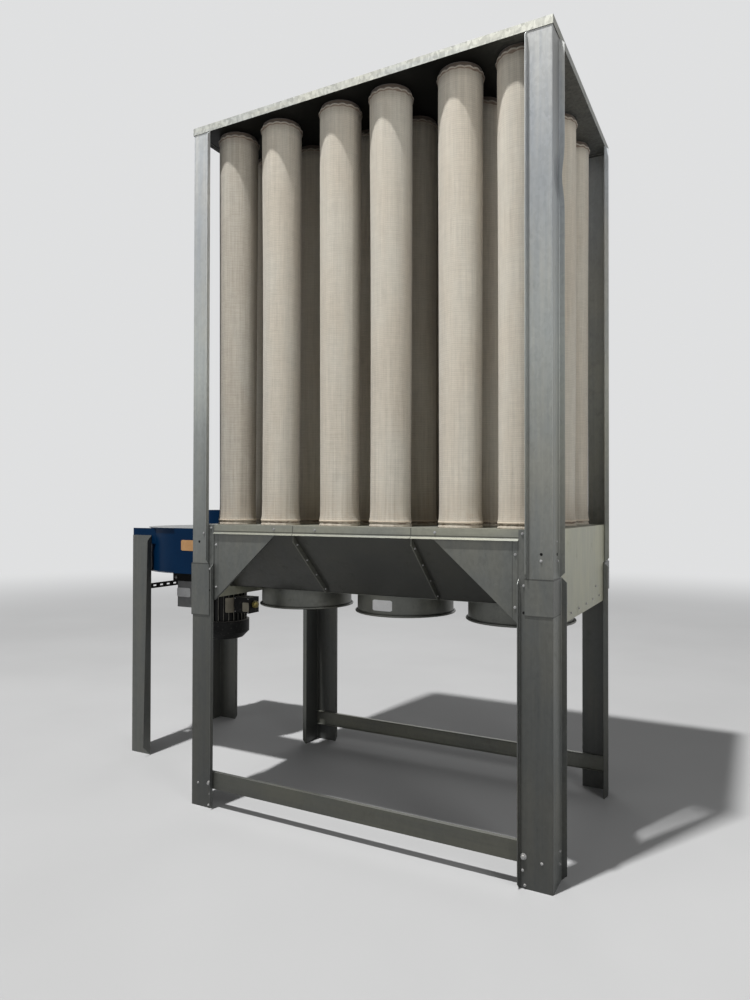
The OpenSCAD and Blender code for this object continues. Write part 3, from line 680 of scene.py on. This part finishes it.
def bag(name, x, y, seed, around, shade):
    """One bag as a thin closed shell: hem, folds, pleated rim and cuff. around
    is the number of points round it, and shade makes its cloth lighter."""
    rng = np.random.default_rng(seed)
    angle = np.arange(around) * math.tau / around
    waves = [(k, rng.uniform(0.35, 1.0), rng.uniform(0, math.tau), rng.uniform(-0.7, 0.7))
             for k in (2, 3, 5, 7, 9, 12, 16, 21)]
    sway = rng.uniform(-4.0, 4.0, 2)
    flat = rng.uniform(0, math.tau)
    turn = rng.uniform(0, math.tau)
    rows = []
    for z in bag_profile():
        share = (z - BASE_Z) / (RIM_Z - BASE_Z)
        foot = math.exp(-(z - BASE_Z) / 260.0)
        head = math.exp(-(RIM_Z - z) / 190.0)
        calm = min(1.0, max(0.12, (z - 1462) / 60.0)) * min(1.0, (3440 - z) / 60.0)
        fold = sum(a * (0.45 + 0.9 * foot + 0.5 * head) / (0.6 + 0.16 * k)
                   * np.cos(k * angle + p + t * math.sin(3.1 * share + p)) for k, a, p, t in waves)
        fold = fold * calm
        body = np.interp(z, WAIST_Z, WAIST)
        squeeze = 1.4 * math.sin(math.pi * share) * np.cos(2 * (angle - flat))
        groove = -2.2 * math.exp(-((z - TIE_Z) / 3.6) ** 2)
        bead = 2.4 * math.exp(-((z - BEAD_Z) / 2.6) ** 2)
        fray = 2.2 * math.exp(-((z - 1438) / 4.5) ** 2) * (1 + 0.5 * np.sin(13 * angle + flat))
        radius = BODY_R + fold * 0.9 + body + squeeze + groove + bead + fray
        centre = sway * math.sin(math.pi * share)
        rows.append((centre, radius, np.full(around, z), fold))
    scallop = np.abs(np.sin(PLEATS / 2 * angle)) - 0.6
    for reach, z, loose in RIM:
        radius = BODY_R + reach + 2.0 * loose * scallop
        rows.append((np.zeros(2), radius, z + 5.0 * loose * scallop, 0.9 * loose * scallop))
    outer, inner, folds = [], [], []
    cos, sin = np.cos(angle + turn), np.sin(angle + turn)
    for centre, radius, z, fold in rows:
        for layer, r in ((outer, radius), (inner, radius - BAG_T)):
            layer.append(np.stack([x + centre[0] + r * cos, y + centre[1] + r * sin,
                                   np.broadcast_to(z, around)], 1))
        folds.append(np.broadcast_to(fold, around))
    count = len(rows)
    points = np.concatenate(outer + inner)
    faces, places = [], []

    def quad(a, b, i, flip):
        j = (i + 1) % around
        ring = [(a + i, i, a), (a + j, i + 1, a), (b + j, i + 1, b), (b + i, i, b)]
        if flip:
            ring.reverse()
        faces.append([p for p, _, _ in ring])
        places.extend([(math.tau * BAG_R / around * c / 1000, points[p][2] / 1000)
                       for p, c, _ in ring])

    shell = count * around
    for r in range(count - 1):
        for i in range(around):
            quad(r * around, (r + 1) * around, i, False)
            quad(shell + r * around, shell + (r + 1) * around, i, True)
    for i in range(around):
        quad(shell, 0, i, False)
        quad((count - 1) * around, shell + (count - 1) * around, i, False)
    made = piece(name, points, faces, cloth, smooth=True, turn_out=False)
    mesh = made.data
    mesh.uv_layers.new(name="cloth").data.foreach_set("uv", np.array(places).ravel())
    fold = mesh.attributes.new("fold", "FLOAT", "POINT")
    values = np.concatenate(folds + folds) / 3.0
    fold.data.foreach_set("value", np.clip(values, -1, 1).astype(np.float32))
    # Each bag's painted shade, with a random tone of its own, for the cloth to read.
    shade_and_tone = mesh.attributes.new("shade_and_tone", "FLOAT", "POINT")
    shade_and_tone.data.foreach_set("value", np.full(len(points), shade + rng.uniform(-0.7, 0.7), np.float32))
    return made


for row, y in enumerate(BAG_Y):
    for place, x in enumerate(BAG_X):
        shade = FRONT_SHADES[place]
        if row:
            shade = END_SHADE if place == 5 else ROW_SHADES[row - 1]
        hung = bag(f"bag_{row + 1}_{place + 1}", x, y, 100 * row + place,
                   OUTER_STEPS if row in (0, 3) else INNER_STEPS, shade)
        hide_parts(f"bag_row_{row + 1}")


# Fasteners


def group(name, sizes):
    """A geometry node tree with one geometry in, named sizes and one out."""
    tree = bpy.data.node_groups.new(name, "GeometryNodeTree")
    tree.interface.new_socket("Geometry", in_out="INPUT", socket_type="NodeSocketGeometry")
    for size, value in sizes.items():
        kind = "NodeSocketInt" if isinstance(value, int) else "NodeSocketFloat"
        socket = tree.interface.new_socket(size, in_out="INPUT", socket_type=kind)
        socket.default_value = value
    tree.interface.new_socket("Finish", in_out="INPUT", socket_type="NodeSocketMaterial")
    tree.interface.new_socket("Geometry", in_out="OUTPUT", socket_type="NodeSocketGeometry")
    return tree, Wire(tree, tree.nodes.new("NodeGroupInput").outputs[0])


def lifted(part, height):
    """The part moved up."""
    up = part.node("ShaderNodeCombineXYZ", {2: height})
    return part.node("GeometryNodeTransform", {"Geometry": part, "Translation": up})


def fastener_tree():
    """A washer, a head and a smaller crown on every point, along 'out'."""
    tree, given = group("fasteners", {
        "Sides": 6, "Head Width": 0.013, "Head Height": 0.006,
        "Washer Width": 0.022, "Washer Height": 0.0015, "Crown": 0.9})
    width, height = given.other("Head Width"), given.other("Head Height")
    thick = given.other("Washer Height")
    washer = given.node("GeometryNodeMeshCylinder", {
        "Vertices": 16, "Radius": given.other("Washer Width") * 0.5, "Depth": thick * 2.0})
    body = given.node("GeometryNodeMeshCylinder", {
        "Vertices": given.other("Sides"), "Radius": width * 0.5, "Depth": height})
    crown = given.node("GeometryNodeMeshCone", {
        "Vertices": given.other("Sides"), "Radius Bottom": width * 0.5,
        "Radius Top": width * 0.5 * given.other("Crown"), "Depth": height * 0.3})
    parts = given.node("GeometryNodeJoinGeometry")
    joined = parts.socket.node
    for part in (washer, lifted(body, height * 0.5 + thick),
                 lifted(crown, height + thick)):
        tree.links.new(part.socket, joined.inputs[0])
    out = given.node("GeometryNodeInputNamedAttribute", {"Name": "out"},
                     data_type="FLOAT_VECTOR")
    turn = given.node("FunctionNodeAlignRotationToVector", {"Vector": out}, axis="Z")
    spots = given.node("GeometryNodeInstanceOnPoints", {
        "Points": given, "Instance": Wire(tree, joined.outputs[0]), "Rotation": turn})
    real = given.node("GeometryNodeRealizeInstances", {"Geometry": spots})
    done = given.node("GeometryNodeSetMaterial", {
        "Geometry": real, "Material": given.other("Finish")})
    given.node("NodeGroupOutput", {0: done})
    return tree


FASTENERS = fastener_tree()


def fasteners(name, spots, material, slot, **sizes):
    """Heads on spots of (point in mm, direction out), made by the node tree."""
    mesh = bpy.data.meshes.new(name)
    mesh.from_pydata([tuple(at(*p)) for p, _ in spots], [], [])
    out = mesh.attributes.new("out", "FLOAT_VECTOR", "POINT")
    out.data.foreach_set("vector", np.array([o for _, o in spots], np.float32).ravel())
    source = bpy.data.objects.new(name + "_spots", mesh)
    bpy.context.scene.collection.objects.link(source)
    modifier = source.modifiers.new("heads", "NODES")
    modifier.node_group = FASTENERS
    names = {s.name: s.identifier for s in FASTENERS.interface.items_tree
             if s.in_out == "INPUT"}
    for size, value in sizes.items():
        modifier[names[size.replace("_", " ").title()]] = value
    modifier[names["Finish"]] = material
    graph = bpy.context.evaluated_depsgraph_get()
    result = bpy.data.meshes.new_from_object(source.evaluated_get(graph))
    result.name = name
    bpy.data.objects.remove(source)
    made = bpy.data.objects.new(name, result)
    bpy.context.scene.collection.objects.link(made)
    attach(made, "root")
    return made


FRONT, BACK, LEFT, RIGHT, UP = (0, -1, 0), (0, 1, 0), (-1, 0, 0), (1, 0, 0), (0, 0, 1)


def both_sides(places, y=0.0):
    """Spots on the front at depth y and their twins on the back."""
    return ([((px, y, pz), FRONT) for px, pz in places]
            + [((px, FRAME_D - y, pz), BACK) for px, pz in places])


def mirrored(places):
    """Places (x, z) on the right with their twins on the left."""
    return [(sx * px, pz) for px, pz in places for sx in (-1, 1)]


SMALL = dict(sides=10, head_width=0.009, head_height=0.0035,
             washer_width=0.012, washer_height=0.0008)
fasteners("rail_screws", both_sides([(-421, 1419), (424, 1419), (-186, 1419)], SHEET_Y),
          zinc, "steel", **SMALL)
fasteners("strap_screws", both_sides(mirrored([(808, 1421)]), 1.0)
          + both_sides(mirrored([(778, 1336), (777, 1122)]), SHEET_Y),
          zinc, "steel", **SMALL)
fasteners("post_screws", both_sides([(-856, 1393), (884, 1314), (814, 1212), (-814, 1212)])
          + [((sx * SIDE_X, y, z), (sx, 0, 0)) for sx in (-1, 1)
             for y, z in ((65, 1313), (1135, 1313))], zinc, "steel", **SMALL)
fasteners("post_holes", both_sides([(-886, 1349), (885, 1340), (814, 1103), (-814, 1103)])
          + [((sx * SIDE_X, y, z), (sx, 0, 0)) for sx in (-1, 1)
             for y, z in ((65, 1338), (1135, 1338))], shadow, "steel", sides=16,
          head_width=0.012, head_height=0.0004, washer_width=0.012, washer_height=0.0003)
feet = both_sides(mirrored([(887, 116), (809, 73), (818, 15)]))
feet += [((sx * SIDE_X, y, z), (sx, 0, 0)) for sx in (-1, 1)
         for y in (103, 1097) for z in (81, 133)]
fasteners("foot_screws", feet, zinc, "steel", **SMALL)
fasteners("foot_bolts", both_sides(mirrored([(812, 128)])), zinc, "steel",
          sides=6, head_width=0.017, head_height=0.009, washer_width=0.026,
          washer_height=0.002)

# Screws of the end panels at (y, z): the fan's end has only the lower row.
PANEL_ROW = [(163, 1070), (320, 1070), (477, 1071), (634, 1073), (791, 1077), (948, 1079)]
PANEL_EDGE = [(237, 1121), (862, 1134), (60, 1200), (60, 1390), (1140, 1200), (1140, 1390)]
fasteners("panel_screws", [((PANEL_X, y, z), RIGHT) for y, z in PANEL_ROW + PANEL_EDGE]
          + [((-PANEL_X, y, z), LEFT) for y, z in PANEL_ROW], zinc, "steel", **SMALL)


# Bolts along the seams


def seam_spots():
    """Bolt heads on the flanges that join the sloping sheets of two bays."""
    spots = []
    run = np.array([SLOPE_FAR - SLOPE_NEAR, SLOPE_LOW - SLOPE_TOP])
    length = np.linalg.norm(run)
    along, below = run / length, np.array([run[1], -run[0]]) / length
    for x in (-SEAM_X, SEAM_X):
        for share in (0.12, 0.38, 0.64, 0.90):
            y, z = np.array([SLOPE_NEAR, SLOPE_TOP]) + along * length * share + below * 13
            for depth in (y, FRAME_D - y):
                spots += [((x + 2.3, depth, z), RIGHT), ((x - 2.3, depth, z), LEFT)]
    return spots


fasteners("seam_bolts", seam_spots(), zinc, "steel", sides=6, head_width=0.007,
          head_height=0.0035, washer_width=0.009, washer_height=0.001)

# Fan and its boxes

COLLAR_ANGLES = np.arange(8) * math.tau / 8 + 0.2
fasteners("collar_bolts", [((FAN_X + COLLAR_BOLTS_R * math.cos(a),
                             FAN_Y + COLLAR_BOLTS_R * math.sin(a), COLLAR_Z), UP)
                           for a in COLLAR_ANGLES],
          zinc, "navy", head_width=0.013, head_height=0.007, washer_width=0.022,
          washer_height=0.002)
fasteners("stool_bolts", [((FAN_X + 205 * sx, FAN_Y - STOOL_HALF, z), FRONT)
                          for sx in (-1, 1) for z in (1072, 1108)]
          + [((FAN_X + sx * STOOL_HALF, FAN_Y + y, z), (sx, 0, 0))
             for sx in (-1, 1) for y in (-190, 190) for z in (1072, 1108)],
          zinc, "black", head_width=0.013, head_height=0.007, washer_width=0.020,
          washer_height=0.0015)
fasteners("box_screws", [((x, FAN_Y - STOOL_HALF, z), FRONT)
                         for x in (-1652, -1478) for z in (893, 1041)]
          + [((x, FAN_Y - TERM_FRONT, z), FRONT) for x in (-1312, -1209) for z in (858, 942)],
          zinc, "box", sides=10, head_width=0.007, head_height=0.002,
          washer_width=0.009, washer_height=0.0005)


def turned(name, outline, centre, axis, material, steps=24):
    """Closed solid turned from (radius, height) points about an axis."""
    across = np.roll(np.eye(3)[axis], 1), np.roll(np.eye(3)[axis], 2)
    points, faces = [], []
    for radius, height in outline:
        for i in range(steps):
            a = i * math.tau / steps
            points.append(np.array(centre, float) + np.eye(3)[axis] * height
                          + radius * (math.cos(a) * across[0] + math.sin(a) * across[1]))
    for r in range(len(outline) - 1):
        for i in range(steps):
            j = (i + 1) % steps
            faces.append((r * steps + i, r * steps + j, (r + 1) * steps + j, (r + 1) * steps + i))
    faces.append(tuple(range(steps)))
    faces.append(tuple(range((len(outline) - 1) * steps, len(outline) * steps)))
    return piece(name, points, faces, material)


GLAND = [(21, 0), (24, 2), (24, 11), (19, 13), (19, 16), (21, 17), (21, 24), (14, 29), (8, 30)]
turned("cable_gland", GLAND, (-1200.4, FAN_Y - 30, 905), 0, gland)

PLATE_R, PLATE_COLUMNS = 5.0, 13


def plate(name, corner, wide, high, thick, material, bend=0.0):
    """Thin plate with rounded corners, from its lower left corner. With bend it
    lies round an upright cylinder of that radius, and corner is the cylinder's
    middle at the plate's foot with the angle of the plate's middle."""
    columns = np.linspace(0, wide, PLATE_COLUMNS)

    def edge(x, top):
        """Height of the plate's edge at x, following the round corners."""
        inset = max(0.0, PLATE_R - x, PLATE_R - (wide - x))
        drop = PLATE_R - math.sqrt(max(0.0, PLATE_R ** 2 - inset ** 2))
        return high - drop if top else drop

    points, faces = [], []
    for x in columns:
        for z in (edge(x, False), edge(x, True)):
            for depth in (0.0, thick):
                if bend:
                    a = (x - wide / 2) / bend + corner[3]
                    points.append((corner[0] + (bend + depth) * math.sin(a),
                                   corner[1] - (bend + depth) * math.cos(a), corner[2] + z))
                else:
                    points.append((corner[0] + x, corner[1] - depth, corner[2] + z))
    for i in range(len(columns) - 1):
        a, b = 4 * i, 4 * i + 4
        faces += [(a, a + 2, b + 2, b), (a + 1, b + 1, b + 3, a + 3),
                  (a, b, b + 1, a + 1), (a + 2, a + 3, b + 3, b + 2)]
    faces += [(0, 1, 3, 2), (b, b + 2, b + 3, b + 1)]
    return piece(name, points, faces, material)


plate("blank_plate_switch_box", (-1664, FAN_Y - STOOL_HALF - GAP, 949), 111, 58, 1.2,
      blank_white)
plate("blank_plate_terminal_box", (-1253, FAN_Y - TERM_FRONT - GAP, 860), 49, 58, 1.2,
      beige)
plate("motor_pad", (FAN_X, FAN_Y, 848, 0.94), 58, 95, 4.0, beige,
      bend=MOTOR_R + FIN_H + 0.5)
plate("blank_plate_housing", (-1384, FAN_Y - HOUSING_FRONT - GAP, 1267), 106, 63, 0.8,
      blank_tan)
plate("blank_plate_outlet", (0, FRAME_D / 2, 1009, -0.04), 112, 54, 0.8, blank_white,
      bend=RING_R + GAP)

# Stage

FLOOR = 40  # metres from the middle to each edge
CORNERS = [(sx * FLOOR, sy * FLOOR, 0) for sx, sy in ((-1, -1), (1, -1), (1, 1), (-1, 1))]
floor_mesh = bpy.data.meshes.new("floor")
floor_mesh.from_pydata(CORNERS, [], [(0, 1, 2, 3)])
floor = bpy.data.objects.new("floor", floor_mesh)
bpy.context.scene.collection.objects.link(floor)

SKY = (0.74, 0.745, 0.75)


def floor_finish(desk):
    """Pale floor that fades into the background's colour far away."""
    place = object_place(desk)
    far = place.node("ShaderNodeVectorMath", {0: place}, out="Value", operation="LENGTH")
    far = far.step(4.5, 15.0)
    soft = place.noise(0.7, 3.0)
    tone = soft.blend((0.36, 0.36, 0.36), (0.42, 0.42, 0.42))
    return {"Base Color": far.blend(tone, (0, 0, 0)), "Roughness": 0.5 + (soft - 0.5) * 0.1,
            "Emission Color": far.blend((0, 0, 0), SKY), "Emission Strength": 1.0,
            "Specular IOR Level": 0.0}


floor_mesh.materials.append(finish_material("plain_floor", floor_finish))


def lamp(name, size, power, place, aim):
    """A rectangular lamp at place, turned towards aim."""
    light = bpy.data.lights.new(name, "AREA")
    light.shape = "RECTANGLE"
    light.size, light.size_y = size
    light.energy = power
    made = bpy.data.objects.new(name, light)
    made.location = place
    made.rotation_euler = (Vector(aim) - Vector(place)).to_track_quat("-Z", "Y").to_euler()
    bpy.context.scene.collection.objects.link(made)


# Name, width and height, watts, place and aim in metres.
lamp("key", (0.6, 0.6), 5600, (-1.42, -6.07, 19.6), (0.78, -0.64, 2.6))
lamp("fill_front", (7, 5), 62, (-2.5, -6.5, 5.5), (0.2, 0, 1.9))
lamp("side_right", (2.2, 2.2), 122, (6.5, -3.6, 3.3), (0.5, -0.2, 1.7))
lamp("fill_back", (6, 4), 125, (-1.5, 6.5, 5.0), (0.2, 0, 1.9))

world = bpy.data.worlds.new("studio")
bpy.context.scene.world = world
world.use_nodes = True
world.node_tree.nodes.clear()
sky = Wire(world.node_tree)
ray = sky.node("ShaderNodeLightPath", out="Is Camera Ray")
seen = ray.math("MAXIMUM", ray.other("Is Glossy Ray"))
seen = seen.math("MAXIMUM", ray.other("Is Transmission Ray"))
plain = sky.node("ShaderNodeBackground", {"Color": (0.62, 0.63, 0.64), "Strength": 0.20})
shown = sky.node("ShaderNodeBackground", {"Color": SKY, "Strength": 1.0})
mixed = sky.node("ShaderNodeMixShader", {0: seen, 1: plain, 2: shown})
sky.node("ShaderNodeOutputWorld", {"Surface": mixed})
